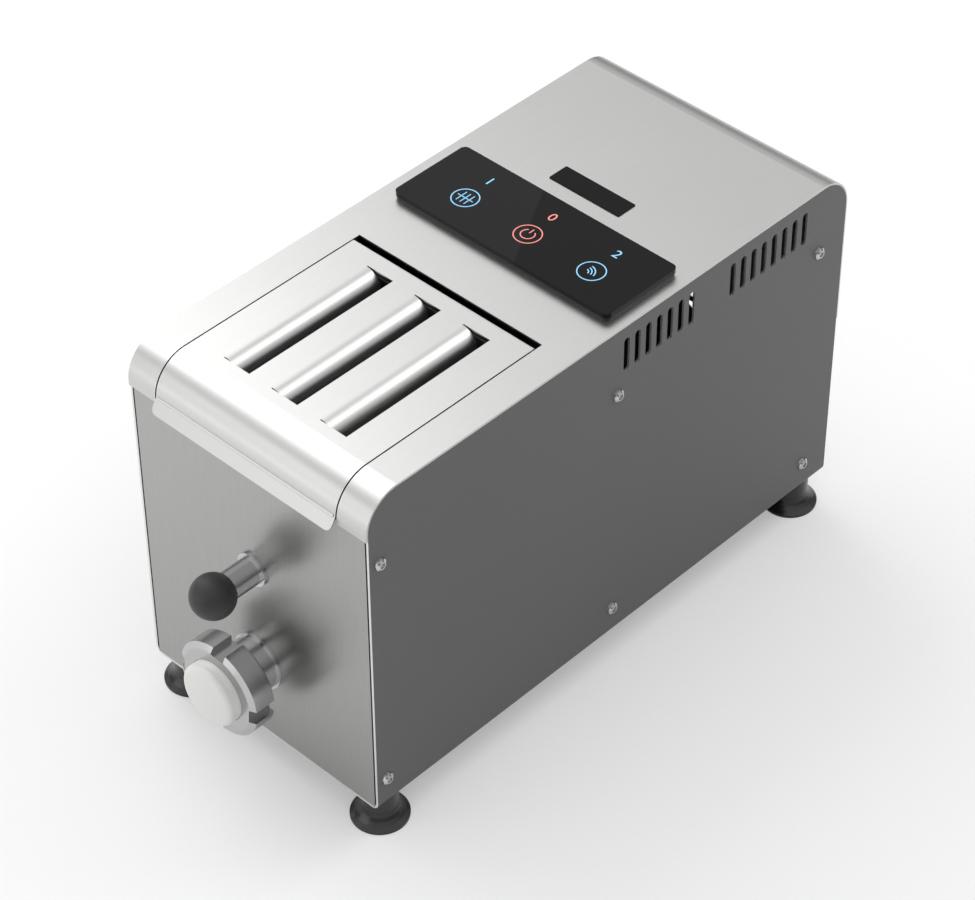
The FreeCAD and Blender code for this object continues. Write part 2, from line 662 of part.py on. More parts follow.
def blank_die():
    seat = "head_front - 0.4"
    crown = turned("die_blank", "y", "0", "front_face", "auger_z", [
        (seat, "0"), (seat, "die_flange"), (seat + " - die_flange_thickness", "die_flange"),
        (seat + " - die_flange_thickness", "die_radius"), ("die_front + 5", "die_radius"),
        ("die_front + 1.5", "die_radius - 1.5"), ("die_front", "die_radius - 6"),
        ("die_front - die_crown * 0.75", "die_radius / 2"), ("die_front - die_crown", "0")])
    groove = ring("die_groove", "y", "0", "front_face + %s - 2 * seal_radius" % seat, "auger_z",
                  "bore_radius + 2", "bore_radius + 5.2", "2 * seal_radius + 1")
    node(cut("blank_die", crown, groove))
    node(ring("die_seal", "y", "0", "front_face + %s - 2 * seal_radius + 0.1" % seat, "auger_z",
              "bore_radius + 2.1", "bore_radius + 5.1", "2 * seal_radius - 0.1"))


def barrel_flange():
    return node(ring("barrel_flange", "y", "0", "front_face - flange_thickness - seat_gap", "auger_z",
                     "barrel_neck + seat_gap", "barrel_flange", "flange_thickness"))


barrel()
barrel_flange()
ring_nut()
blank_die()


# Auger: a core with one helical flight, driven from the back.
def auger():
    pitch = number("auger_pitch")
    start = number("front_face") + number("auger_front")
    run = number("bore_end") - number("auger_front") - number("flight_thickness") - 3
    core = turned("auger_core_bar", "y", "0", "front_face", "auger_z", [
        ("auger_front - 4", "0"), ("auger_front - 4", "3"), ("auger_front + 4", "auger_core"),
        ("bore_end + 3", "auger_core"), ("bore_end + 3", "shaft_radius"),
        ("bulkhead_depth - 1", "shaft_radius"), ("bulkhead_depth - 1", "0")])
    helix = Part.makeHelix(pitch, run, number("auger_core") - 1)
    half = number("flight_thickness") / 2
    inner = number("auger_core") - 1
    outer = number("auger_radius")
    section = Part.makePolygon([Vector(inner, 0, -half), Vector(outer, 0, -half * 0.7), Vector(outer, 0,
        half * 0.7),
                                Vector(inner, 0, half), Vector(inner, 0, -half)])
    flight_shape = Part.Wire(helix).makePipeShell([section], True, True)
    flight = fresh("Part::Feature", "auger_flight")
    flight.Shape = flight_shape
    flight.Placement = FreeCAD.Placement(Vector(0, start + half, number("auger_z")), TURN_TO["y"])
    return node(join("auger", core, flight))


def gear_shape(teeth, bore, width):
    """Spur gear about Z: involute flanks as arcs through three of their points, thinned for backlash."""
    module = number("gear_module")
    pitch_radius = module * teeth / 2
    base_radius = pitch_radius * math.cos(math.radians(20))
    tip_radius = pitch_radius + module
    root_radius = pitch_radius - 1.25 * module
    tooth_half = math.pi / (2 * teeth) - number("tooth_backlash") / (2 * pitch_radius)
    flank_zero = tooth_half + math.tan(math.radians(20)) - math.radians(20)

    def flank(radius, side, turn):
        """Point of the involute at this radius: its polar angle falls as the roll angle grows."""
        roll = math.sqrt(max((radius / base_radius) ** 2 - 1, 0))
        angle = turn + side * (flank_zero - (roll - math.atan(roll)))
        return Vector(radius * math.cos(angle), radius * math.sin(angle), 0)

    low = max(base_radius, root_radius)
    edges = []
    for tooth in range(teeth):
        turn = 2 * math.pi * tooth / teeth
        following = turn + 2 * math.pi / teeth
        rise = [flank(radius, -1, turn) for radius in (low, (low + tip_radius) / 2, tip_radius)]
        fall = [flank(radius, 1, turn) for radius in (tip_radius, (low + tip_radius) / 2, low)]
        foot = Vector(rise[0]).normalize() * root_radius
        heel = Vector(fall[2]).normalize() * root_radius
        next_foot = Vector(flank(low, -1, following)).normalize() * root_radius
        middle = (turn + following) / 2
        edges.append(Part.makeLine(foot, rise[0]))
        edges.append(Part.Arc(*rise).toShape())
        edges.append(Part.Arc(rise[2], Vector(tip_radius * math.cos(turn), tip_radius * math.sin(turn),
                                              0), fall[0]).toShape())
        edges.append(Part.Arc(*fall).toShape())
        edges.append(Part.makeLine(fall[2], heel))
        valley = Vector(root_radius * math.cos(middle), root_radius * math.sin(middle), 0)
        edges.append(Part.Arc(heel, valley, next_foot).toShape())
    blank = Part.Face(Part.Wire(edges)).extrude(Vector(0, 0, width))
    return blank.cut(Part.makeCylinder(bore, width + 2, Vector(0, 0, -1)))


def gear(name, teeth, height, tooth_up):
    """Gear on the shaft at this height, turned so that a tooth, or a gap, points straight up."""
    wheel = fresh("Part::Feature", name)
    wheel.Shape = gear_shape(teeth, number("shaft_radius") + number("seat_gap"), number("gear_width"))
    spin = 90 if tooth_up else 90 + 180.0 / teeth
    facing = TURN_TO["y"].multiply(FreeCAD.Rotation(Vector(0, 0, 1), spin))
    wheel.Placement = FreeCAD.Placement(Vector(0, number("gear_y"), number(height)), facing)
    return node(wheel)


auger()
gear("mixer_gear", int(number("gear_teeth")), "mixer_z", True)
gear("auger_gear", int(number("gear_teeth")), "auger_z", True)
gear("pinion", int(number("pinion_teeth")), "pinion_z", False)


# Mixer: a drive spindle, and a hub with crossed arms that lifts off its square tang.
def spindle():
    shaft = rod("spindle_bar", "y", "0", "hub_back + 1", "mixer_z", "shaft_radius",
                "front_face + bulkhead_depth - 1 - hub_back - 1")
    tang = box("spindle_tang", "-tang_side / 2", "hub_back - tang_length", "mixer_z - tang_side / 2",
               "tang_side", "tang_length + 2", "tang_side")
    return node(join("mixer_spindle", shaft, tang))


def paddle():
    hub = rod("paddle_hub", "y", "0", "hub_front", "mixer_z", "hub_radius", "hub_back - hub_front")
    arms = []
    spacing = "((hub_back - hub_front - arm_width - 8) / (arm_count - 1))"
    for index in range(int(number("arm_count"))):
        blade = fresh("Part::Box", "paddle_arm_%d" % (index + 1))
        bind(blade, Length="2 * arm_radius", Width="arm_width", Height="arm_thickness")
        corner = Vector(-number("arm_radius"), -number("arm_width") / 2, -number("arm_thickness") / 2)
        twist = FreeCAD.Rotation(X_AXIS, 28 if index % 2 else -28)
        spin = FreeCAD.Rotation(Y_AXIS, number("arm_turn") * index + 20)
        blade.Placement = FreeCAD.Placement(Vector(), spin.multiply(twist)).multiply(
            FreeCAD.Placement(corner, FreeCAD.Rotation()))
        carrier = group("paddle_arm_place_%d" % (index + 1), blade)
        move(carrier, "0", "hub_front + arm_width / 2 + 4 + %d * %s" % (index, spacing), "mixer_z")
        arms.append(carrier)
    reach = rod("paddle_reach", "y", "0", "hub_front", "mixer_z", "arm_radius", "hub_back - hub_front")
    blank = common("paddle_trimmed", join("paddle_blank", hub, *arms), reach)
    front_bore = rod("paddle_bore", "y", "0", "hub_front - 1", "mixer_z", "pin_tip_radius + running_gap",
                     "pin_tip_length + 3")
    socket = box("paddle_socket", "-tang_side / 2 - seat_gap", "hub_back - tang_length - 1",
                 "mixer_z - tang_side / 2 - seat_gap", "tang_side + 2 * seat_gap", "tang_length + 10",
                 "tang_side + 2 * seat_gap")
    return node(cut("mixing_paddle", blank, front_bore, socket))


spindle()
paddle()


# Mixer pin: a polished stem with a ball, pulled out through its bush to free the paddle.
def mixer_pin():
    stem = turned("mixer_pin", "y", "0", "front_face", "mixer_z", [
        ("-ball_out + ball_radius * 0.4", "0"), ("-ball_out + ball_radius * 0.4", "pin_radius"),
        ("tub_front + tub_sheet + hub_front_gap - 1", "pin_radius"),
        ("tub_front + tub_sheet + hub_front_gap - 1", "pin_tip_radius"),
        ("tub_front + tub_sheet + hub_front_gap + pin_tip_length - 1.5", "pin_tip_radius"),
        ("tub_front + tub_sheet + hub_front_gap + pin_tip_length", "pin_tip_radius - 1.5"),
        ("tub_front + tub_sheet + hub_front_gap + pin_tip_length", "0")])
    node(stem)
    ball = fresh("Part::Sphere", "ball_form")
    bind(ball, Radius="ball_radius")
    move(ball, "0", "front_face - ball_out", "mixer_z")
    socket = rod("ball_socket", "y", "0", "front_face - ball_out + ball_radius * 0.4 - 0.1", "mixer_z",
                 "pin_radius + seat_gap", "30")
    node(cut("ball_knob", ball, socket))
    node(turned("pin_bush", "y", "0", "front_face", "mixer_z", [
        ("-flange_thickness", "pin_radius + running_gap"), ("-flange_thickness", "bush_radius"),
        ("-seat_gap", "bush_radius"), ("-seat_gap", "bush_sleeve"), ("tub_front + tub_sheet + 3",
                                                                     "bush_sleeve"),
        ("tub_front + tub_sheet + 3", "pin_radius + running_gap")]))


mixer_pin()


# Gear case: two bearing plates held apart by pillars, in front of the bulkhead.
SHAFT_HEIGHTS = ("mixer_z", "pinion_z", "auger_z")


def bearing_plate(name, y):
    low = "auger_z - bearing_radius - 12"
    plate = box(name + "_plate", "-plate_width / 2", y, low, "plate_width", "plate_thickness",
                "mixer_z - auger_z + 2 * (bearing_radius + 12)")
    shape = rounded(name + "_shape", plate, number("pillar_radius") * 2,
                    lambda edge: runs_along(edge, Y_AXIS))
    holes = [rod(name + "_seat_" + height, "y", "0", y + " - 1", height, "bearing_radius + seat_gap",
                 "plate_thickness + 2")
             for height in SHAFT_HEIGHTS]
    return node(cut(name, shape, *holes))


def bearings(name, y):
    return node(group(name, *[
        ring(name + "_" + height, "y", "0", y, height, "shaft_radius + running_gap", "bearing_radius",
             "bearing_width")
        for height in SHAFT_HEIGHTS]))


def pillars():
    posts = []
    for side in ("-", ""):
        for level in ("auger_z - bearing_radius", "mixer_z + bearing_radius"):
            posts.append(rod("pillar_%d" % (len(posts) + 1), "y", side + "pillar_across / 2",
                             "front_plate_y + plate_thickness + seat_gap", level, "pillar_radius",
                             "rear_plate_y - front_plate_y - plate_thickness - 2 * seat_gap"))
    return node(group("gear_case_pillars", *posts))


def shaft_seal(name, start, height, outside):
    return node(ring(name, "y", "0", "front_face + %s + seat_gap" % start, height,
                     "shaft_radius + running_gap", outside, "plate_start - %s - 2 * seat_gap" % start))


bearing_plate("front_bearing_plate", "front_plate_y")
bearing_plate("rear_bearing_plate", "(rear_plate_y - seat_gap)")
bearings("front_bearings", "front_plate_y")
bearings("rear_bearings", "(rear_plate_y - seat_gap)")
pillars()
shaft_seal("mixer_seal", "tub_back", "mixer_z", "bearing_radius")
shaft_seal("auger_seal", "tub_end", "auger_z", "bearing_radius + 2")


# Gear motor: reduction gear head, ribbed motor, end cap, and a fan on the motor's own shaft.
def drive_shaft():
    return node(rod("drive_shaft", "y", "0", "front_plate_y + 0.5", "pinion_z", "shaft_radius",
                    "gearhead_y - front_plate_y + 18"))


def gearhead():
    block = box("gearhead_block", "-gearhead_size / 2", "gearhead_y + seat_gap",
                "pinion_z - gearhead_size / 2",
                "gearhead_size", "gearhead_length - seat_gap", "gearhead_size")
    shape = rounded("gearhead_shape", block, 12, lambda edge: runs_along(edge, Y_AXIS))
    bore = rod("gearhead_bore", "y", "0", "gearhead_y - 1", "pinion_z", "shaft_radius + running_gap", "21")
    return node(cut("gearhead", shape, bore))


def motor():
    core = rod("motor_core", "y", "0", "motor_y + seat_gap", "pinion_z", "motor_radius - rib_height",
               "motor_length - 2 * seat_gap")
    ribs = spokes("motor_ribs", int(number("rib_count")), 0, "motor_radius - rib_height - 3",
                  "rib_height + 3", "motor_length - 20", "2.4")
    move(ribs, "0", "motor_y + 10", "pinion_z")
    node(join("motor_body", core, ribs))
    node(turned("motor_end_cap", "y", "0", "end_cap_y", "pinion_z", [
        ("0", "0"), ("0", "motor_radius - 2"), ("end_cap_length - 5", "motor_radius - 2"),
        ("end_cap_length", "motor_radius - 10"), ("end_cap_length", "5 + running_gap"),
        ("3", "5 + running_gap"), ("3", "0")]))


def motor_fan():
    hub = turned("fan_hub", "y", "0", "fan_y", "pinion_z", [
        ("-11", "0"), ("-11", "5"), ("0", "5"), ("0", "12"), ("fan_length", "12"), ("fan_length", "0")])
    wheel = spokes("fan_blade", int(number("fan_blades")), 0, "10", "fan_radius - 10", "fan_length - 1",
                   "2")
    move(wheel, "0", "fan_y + 0.5", "pinion_z")
    return node(join("motor_fan", hub, wheel))


def fan_cover():
    cup = turned("fan_cover_cup", "y", "0", "end_cap_y", "pinion_z", [
        ("1", "motor_radius - 2 + seat_gap"), ("1", "motor_radius - 2 + cover_sheet"),
        ("fan_cover_length", "motor_radius - 2 + cover_sheet"), ("fan_cover_length + 6",
                                                                 "motor_radius - 8"),
        ("fan_cover_length + 6", "0"), ("fan_cover_length + 6 - cover_sheet", "0"),
        ("fan_cover_length + 6 - cover_sheet", "motor_radius - 9"),
        ("fan_cover_length - cover_sheet", "motor_radius - 2 + seat_gap")])
    slots = spokes("fan_cover_slot", 12, 0, "18", "18", "20", "5")
    move(slots, "0", "end_cap_y + fan_cover_length - 5", "pinion_z")
    return node(cut("motor_fan_cover", cup, slots))


def motor_cradle():
    block = box("cradle_block", "-34", "motor_y + 40", "foot_height + casing_sheet + seat_gap", "68", "40",
                "pinion_z - foot_height - casing_sheet - motor_radius + 14")
    seat = rod("cradle_seat", "y", "0", "motor_y + 30", "pinion_z", "motor_radius + 0.4", "60")
    room = box("cradle_room", "-34 + 6", "motor_y + 30", "foot_height + casing_sheet + 6", "68 - 12", "60",
               "pinion_z - foot_height - motor_radius - 20")
    return node(cut("motor_cradle", block, seat, room))


drive_shaft()
gearhead()
motor()
motor_fan()
fan_cover()
motor_cradle()


# Electrics: control board behind the glass, drive board on the left wall, run capacitor and mains inlet.
def controls():
    low_x = "control_offset - glass_width / 2"
    upright = lambda edge: runs_along(edge, Z_AXIS)
    glass = box("glass_block", low_x, "front_face + glass_start", "control_z + seat_gap", "glass_width",
                "glass_depth", "glass_thickness")
    node(rounded("glass_panel", glass, number("glass_corner"), upright))
    frame = box("frame_block", low_x + " + 0.8", "front_face + glass_start + 0.8", "top + seat_gap",
                "glass_width - 1.6", "glass_depth - 1.6", "frame_thickness - seat_gap")
    hole = box("frame_hole", "control_offset - board_width / 2 - 1",
               "front_face + glass_start + (glass_depth - board_depth) / 2 - 1", "top - 5",
               "board_width + 2", "board_depth + 2", "20")
    node(cut("control_frame", rounded("frame_plate", frame, number("glass_corner") - 0.8, upright), hole))
    node(box("control_board", "control_offset - board_width / 2",
             "front_face + glass_start + (glass_depth - board_depth) / 2", "control_z - board_thickness",
             "board_width", "board_depth", "board_thickness"))


def electrics():
    board_y = "front_face + board_start"
    board_z = "foot_height + board_low"
    node(box("drive_board", "-inner_half + board_inset", board_y, board_z, "board_thickness",
             "board_length", "board_tall"))
    posts = []
    for y in ("8", "board_length - 8"):
        for z in ("8", "board_tall - 8"):
            posts.append(rod("board_post_%d" % (len(posts) + 1), "x", "-inner_half", board_y + " + " + y,
                             board_z + " + " + z, "post_radius", "board_inset - seat_gap"))
    node(group("board_posts", *posts))
    node(rod("run_capacitor", "z", "inner_half - capacitor_inset - capacitor_radius",
             "front_face + capacitor_start",
             "foot_height + casing_sheet + seat_gap", "capacitor_radius", "capacitor_height"))


def power_inlet():
    low = "foot_height + inlet_height - %s / 2"
    left = "inlet_across - %s / 2"
    shell = box("inlet_shell", left % "inlet_width", "rear_face - inlet_depth", low % "inlet_tall",
                "inlet_width", "inlet_depth + 0.5", "inlet_tall")
    lip = box("inlet_lip", left % "inlet_lip_width", "rear_face + seat_gap", low % "inlet_lip_tall",
              "inlet_lip_width", "inlet_wall", "inlet_lip_tall")
    cavity = box("inlet_cavity", left % "inlet_width" + " + inlet_wall", "rear_face - inlet_depth / 2 - 2",
                 low % "inlet_tall" + " + inlet_wall", "inlet_width - 2 * inlet_wall", "inlet_depth",
                 "inlet_tall - 2 * inlet_wall")
    blades = [box("inlet_blade_%d" % (index + 2), "inlet_across + %d * inlet_width / 4 - 1" % index,
                  "rear_face - inlet_depth / 2 - 3", "foot_height + inlet_height - 2", "2",
                  "inlet_depth / 2", "4")
              for index in (-1, 0, 1)]
    node(join("power_inlet", cut("inlet_case", join("inlet_form", shell, lip), cavity), *blades))


def lid_sensor():
    switch = box("lid_switch", "lid_half + lid_side_gap + 4", "hinge_y - 40", "under_top - 12", "8", "20",
                 "12 - seat_gap")
    node(switch)
    node(box("lid_magnet", "lid_half - hood_sheet - 4", "hinge_y - 34", "under_top - lid_flange + 1",
             "4 - seat_gap", "8", "6"))


controls()
electrics()
power_inlet()
lid_sensor()


# Feet: black suction feet on studs, and the screws that hold the side walls.
def feet():
    cups = []
    studs = []
    for side, name in (("-", "left"), ("", "right")):
        for end in ("foot_front_y", "foot_rear_y"):
            cup = turned("foot_%s_%s" % (name, end), "z", side + "foot_x", end, "0", [
                ("0", "foot_flare - 3.5"), ("0", "foot_flare"), ("foot_lip", "foot_flare"),
                ("foot_lip + 2.6", "foot_flare - 3.2"), ("foot_lip + 5.2", "foot_flare - 5.6"),
                ("foot_lip + 7.8", "foot_hub + 0.9"), ("foot_lip + 10.6", "foot_hub"),
                ("foot_height - seat_gap", "foot_hub"), ("foot_height - seat_gap",
                                                         "stud_radius + seat_gap"),
                ("foot_height - hub_height", "stud_radius + seat_gap"), ("foot_height - hub_height", "0"),
                ("cup_depth", "0"), ("cup_depth * 0.6", "foot_flare * 0.55")])
            cups.append(cup)
            studs.append(turned("stud_%s_%s" % (name, end), "z", side + "foot_x", end, "foot_height", [
                ("-hub_height + 0.5", "0"), ("-hub_height + 0.5", "stud_radius"),
                ("casing_sheet + seat_gap", "stud_radius"), ("casing_sheet + seat_gap",
                                                             "stud_radius * 1.75"),
                ("casing_sheet + 6", "stud_radius * 1.75"), ("casing_sheet + 6", "0")]))
    node(group("suction_feet", *cups))
    node(group("foot_studs", *studs))


def side_screws():
    screws = []
    for column in ("front_screw", "middle_screw", "rear_screw"):
        for line in ("screw_low", "screw_high"):
            for side in (-1, 1):
                screw = turned("screw_%d" % (len(screws) + 1), "x", "%d * half_width" % side,
                               "front_face + " + column, "foot_height + " + line, [
                    ("%d * (screw_head_height - socket_depth)" % side, "0"),
                    ("%d * (screw_head_height - socket_depth)" % side, "socket_radius"),
                    ("%d * screw_head_height" % side, "socket_radius"),
                    ("%d * screw_head_height" % side, "screw_head_radius * 0.6"),
                    ("%d * screw_head_height * 0.55" % side, "screw_head_radius * 0.93"),
                    ("%d * seat_gap" % side, "screw_head_radius"), ("%d * seat_gap" % side, "screw_radius"),
                    ("-%d * screw_length" % side, "screw_radius"), ("-%d * screw_length" % side, "0")])
                screws.append(screw)
    return node(group("side_screws", *screws))


feet()
side_screws()

doc.recompute()
for thing in doc.Objects:
    if "Invalid" in thing.State or "Error" in thing.State:
        raise RuntimeError("%s could not be built" % thing.Name)
os.makedirs("parts", exist_ok=True)
for piece in nodes:
    if piece.Shape.isNull() or not piece.Shape.isValid():
        raise RuntimeError("%s has no sound shape" % piece.Label)
    piece.Shape.exportStep("parts/%s.step" % piece.Label)
print("%d nodes" % len(nodes))
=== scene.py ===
import math

import bpy
import numpy as np
from mathutils import Matrix, Vector


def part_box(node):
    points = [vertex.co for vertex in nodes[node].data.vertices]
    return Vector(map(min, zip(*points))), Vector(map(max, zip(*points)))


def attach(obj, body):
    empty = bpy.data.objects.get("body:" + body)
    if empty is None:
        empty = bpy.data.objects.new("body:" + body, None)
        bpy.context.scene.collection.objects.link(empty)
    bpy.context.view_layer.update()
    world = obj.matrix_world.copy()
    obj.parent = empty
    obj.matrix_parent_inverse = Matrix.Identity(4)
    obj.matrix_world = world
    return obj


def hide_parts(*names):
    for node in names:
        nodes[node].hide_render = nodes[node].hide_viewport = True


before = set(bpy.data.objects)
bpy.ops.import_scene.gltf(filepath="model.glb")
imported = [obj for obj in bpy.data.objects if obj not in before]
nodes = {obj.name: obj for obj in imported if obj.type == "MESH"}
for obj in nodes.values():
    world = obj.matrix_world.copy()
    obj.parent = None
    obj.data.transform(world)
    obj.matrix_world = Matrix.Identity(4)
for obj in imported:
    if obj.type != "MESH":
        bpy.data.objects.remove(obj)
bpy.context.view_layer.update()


# Small helpers for colours, nodes and meshes
def srgb(text):
    # Hex colour as drawn on a screen, turned to the linear values that the shaders take.
    parts = [int(text[i:i + 2], 16) / 255 for i in (1, 3, 5)]
    return [c / 12.92 if c <= 0.04045 else ((c + 0.055) / 1.055) ** 2.4 for c in parts] + [1.0]


def addNode(tree, kind, settings=None, links=None, **values):
    # One shader node: settings are its own options, values its sockets, links its sockets fed by others.
    node = tree.nodes.new(kind)
    for key, value in (settings or {}).items():
        setattr(node, key, value)
    for key, value in values.items():
        node.inputs[key.replace("_", " ")].default_value = value
    for key, socket in (links or {}).items():
        tree.links.new(socket, node.inputs[key])
    return node


def newMaterial(name, **values):
    # A material with its plain shader, whose constants go on the shader's own sockets.
    material = bpy.data.materials.new(name)
    material.use_nodes = True
    tree = material.node_tree
    shader = tree.nodes["Principled BSDF"]
    for key, value in values.items():
        shader.inputs[key.replace("_", " ")].default_value = value
    return material, tree, shader


def newPiece(name, verts, faces, material, body="base", smooth=True):
    # A mesh piece with its place in its vertices, riding on a CAD body.
    mesh = bpy.data.meshes.new(name)
    mesh.from_pydata(np.asarray(verts).reshape(-1, 3).tolist(), [], faces)
    mesh.polygons.foreach_set("use_smooth", [smooth] * len(mesh.polygons))
    mesh.materials.append(material)
    mesh.update()
    piece = bpy.data.objects.new(name, mesh)
    bpy.context.collection.objects.link(piece)
    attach(piece, body)
    return piece


def gridFaces(rows, columns, closeRows=False, closeColumns=False):
    # Quads between neighbouring grid points, wrapped round where the surface closes.
    i, j = np.meshgrid(np.arange(rows if closeRows else rows - 1),
                       np.arange(columns if closeColumns else columns - 1), indexing="ij")
    a = i * columns + j
    b = i * columns + (j + 1) % columns
    c = ((i + 1) % rows) * columns + (j + 1) % columns
    d = ((i + 1) % rows) * columns + j
    return np.stack([a, b, c, d], -1).reshape(-1, 4).tolist()


print("frame loaded:", len(nodes), "nodes")


# Parts that the materials share
def noise(tree, vector, scale, detail=2.0, roughness=0.5):
    # Noise read along a vector, for grain, streaks and slow drift.
    return addNode(tree, "ShaderNodeTexNoise", links={"Vector": vector}, Scale=scale, Detail=detail,
                   Roughness=roughness).outputs[0]


def stretched(tree, vector, scale):
    # The vector times a scale of its own on each axis.
    return addNode(tree, "ShaderNodeMapping", links={"Vector": vector}, Scale=scale).outputs[0]


def mixTone(tree, factor, low, high):
    # Colour that goes from the low tone to the high one as the factor goes from 0 to 1.
    tone = addNode(tree, "ShaderNodeMix", {"data_type": "RGBA"}, {0: factor})
    tone.inputs[6].default_value = [*low[:3], 1]
    tone.inputs[7].default_value = [*high[:3], 1]
    return tone.outputs[2]


def driftTone(tree, factor, colour, spread):
    # The colour made darker and lighter by the spread's share of itself, and never past white.
    base = np.array(srgb(colour))
    return mixTone(tree, factor, base * (1 - spread), np.minimum(base * (1 + spread), 1))


def roughen(tree, shader, factor, low, high):
    # Roughness that goes from low to high with the factor.
    rough = addNode(tree, "ShaderNodeMapRange", links={"Value": factor}, To_Min=low, To_Max=high)
    tree.links.new(rough.outputs[0], shader.inputs["Roughness"])


def emboss(tree, shader, height, strength, depth):
    # The height's relief, depth deep in metres and weighed by the strength.
    bump = addNode(tree, "ShaderNodeBump", links={"Height": height}, Strength=strength, Distance=depth)
    tree.links.new(bump.outputs[0], shader.inputs["Normal"])


def objectPlace(tree):
    # Place on the piece itself, so a pattern moves with it.
    return addNode(tree, "ShaderNodeTexCoord").outputs["Object"]


brushing = {
    "streakWidth": 0.0006, "streakLength": 0.05,    # one streak, across and along the brushing
    "cloudScale": 9.0, "glossier": 0.03, "duller": 0.04, "depth": 0.0004,
}


def brushedSteel(name, colour, roughness, along, contrast=0.06, relief=0.03):
    # Stainless sheet brushed one way: noise drawn out along one axis gives long faint streaks, in tone and
    # relief, and slow clouds of gloss lie over them.
    material, tree, shader = newMaterial(name, Metallic=1.0)
    place = objectPlace(tree)
    scale = [1 / brushing["streakWidth"]] * 3
    scale["xyz".index(along)] = 1 / brushing["streakLength"]
    streaks = noise(tree, stretched(tree, place, scale), 1.0, 4.0, 0.6)
    clouds = noise(tree, place, brushing["cloudScale"])
    tree.links.new(driftTone(tree, streaks, colour, contrast), shader.inputs["Base Color"])
    roughen(tree, shader, clouds, roughness - brushing["glossier"], roughness + brushing["duller"])
    emboss(tree, shader, streaks, relief, brushing["depth"])
    return material


turning = {"ringScale": [300, 2200, 300], "glossSpread": 0.02, "relief": 0.015, "depth": 0.0001}


def turnedSteel(name, colour, roughness):
    # Turned stainless: noise packed close along the Y axis gives the faint rings that the tool leaves.
    material, tree, shader = newMaterial(name, Metallic=1.0, Base_Color=srgb(colour))
    rings = noise(tree, stretched(tree, objectPlace(tree), turning["ringScale"]), 1.0, 3.0)
    roughen(tree, shader, rings, roughness - turning["glossSpread"], roughness + turning["glossSpread"])
    emboss(tree, shader, rings, turning["relief"], turning["depth"])
    return material


graining = {"driftScale": 14.0, "glossSpread": 0.05, "depth": 0.0003}


def grainedSurface(name, colour, roughness, scale, relief, spread=0.12, **values):
    # Moulded, painted or rubber surface: fine even grain in relief and gloss, and a slow drift in its tone.
    material, tree, shader = newMaterial(name, **values)
    place = objectPlace(tree)
    grain = noise(tree, place, scale, 3.0)
    drift = noise(tree, place, graining["driftScale"])
    tree.links.new(driftTone(tree, drift, colour, spread), shader.inputs["Base Color"])
    roughen(tree, shader, grain, roughness - graining["glossSpread"], roughness + graining["glossSpread"])
    emboss(tree, shader, grain, relief, graining["depth"])
    return material


sheet = {"edgeTilt": 0.75, "grainScale": 900.0, "driftScale": 5.0, "spread": 0.06, "roughness": (0.42, 0.52),
         "relief": 0.05, "depth": 0.0002}


def paintedShadeSheet(name, shadedFaceColour, edgeColour):
    # Satin side sheet with bare sheared edges: where the true normal points up or along Y by more than the
    # edge tilt, the surface is edge, bright and metallic, and elsewhere it is the face, whose flat dark grey
    # is painted shade standing in for the stainless sheet in shadow.
    material, tree, shader = newMaterial(name)
    place = objectPlace(tree)
    normal = addNode(tree, "ShaderNodeNewGeometry").outputs["True Normal"]
    parts = addNode(tree, "ShaderNodeSeparateXYZ", links={0: normal})
    alongY = addNode(tree, "ShaderNodeMath", {"operation": "ABSOLUTE"}, {0: parts.outputs[1]})
    tilt = addNode(tree, "ShaderNodeMath", {"operation": "MAXIMUM"},
                   {0: parts.outputs[2], 1: alongY.outputs[0]})
    edge = addNode(tree, "ShaderNodeMath", {"operation": "GREATER_THAN"}, {0: tilt.outputs[0]})
    edge.inputs[1].default_value = sheet["edgeTilt"]
    grain = noise(tree, place, sheet["grainScale"], 3.0)
    drift = noise(tree, place, sheet["driftScale"])
    # The face's dark grey is painted shade; the edge's light tone is bare steel.
    colour = addNode(tree, "ShaderNodeMix", {"data_type": "RGBA"},
                     {0: edge.outputs[0], 6: driftTone(tree, drift, shadedFaceColour, sheet["spread"])})
    colour.inputs[7].default_value = srgb(edgeColour)
    tree.links.new(colour.outputs[2], shader.inputs["Base Color"])
    tree.links.new(edge.outputs[0], shader.inputs["Metallic"])
    roughen(tree, shader, grain, *sheet["roughness"])
    emboss(tree, shader, grain, sheet["relief"], sheet["depth"])
    return material


glass = {"roughness": 0.06, "gloss": 0.16, "slant": 0.55, "lineStart": 0.03, "lineEnd": 0.032,
         "lighter": "#1b1b1d", "darker": "#0b0b0c"}


def printedGlass():
    # Toughened glass printed black behind: a lighter left end, parted from the deep black by a slanting line
    # where X plus the slant's share of Y passes the line's place.
    material, tree, shader = newMaterial("blackPrintedGlass", Roughness=glass["roughness"], IOR=1.5,
                                         Specular_IOR_Level=glass["gloss"])
    parts = addNode(tree, "ShaderNodeSeparateXYZ", links={0: objectPlace(tree)})
    lean = addNode(tree, "ShaderNodeMath", {"operation": "MULTIPLY_ADD"},
                   {0: parts.outputs[1], 2: parts.outputs[0]})
    lean.inputs[1].default_value = glass["slant"]
    ramp = addNode(tree, "ShaderNodeMapRange", links={"Value": lean.outputs[0]}, From_Min=glass["lineStart"],
                   From_Max=glass["lineEnd"])
    tone = mixTone(tree, ramp.outputs[0], srgb(glass["lighter"]), srgb(glass["darker"]))
    tree.links.new(tone, shader.inputs["Base Color"])
    return material


printing = {"roughness": 0.35, "glow": 0.35, "grainScale": 800.0, "thin": 0.92}


def inkMaterial(name, colour):
    # Screen-printed legend lit from behind: its colour, thinned here and there, with a little light of its
    # own.
    material, tree, shader = newMaterial(name, Roughness=printing["roughness"],
                                         Emission_Strength=printing["glow"])
    full = np.array(srgb(colour))
    grain = noise(tree, objectPlace(tree), printing["grainScale"])
    tone = mixTone(tree, grain, full * printing["thin"], full)
    tree.links.new(tone, shader.inputs["Base Color"])
    tree.links.new(tone, shader.inputs["Emission Color"])
    return material


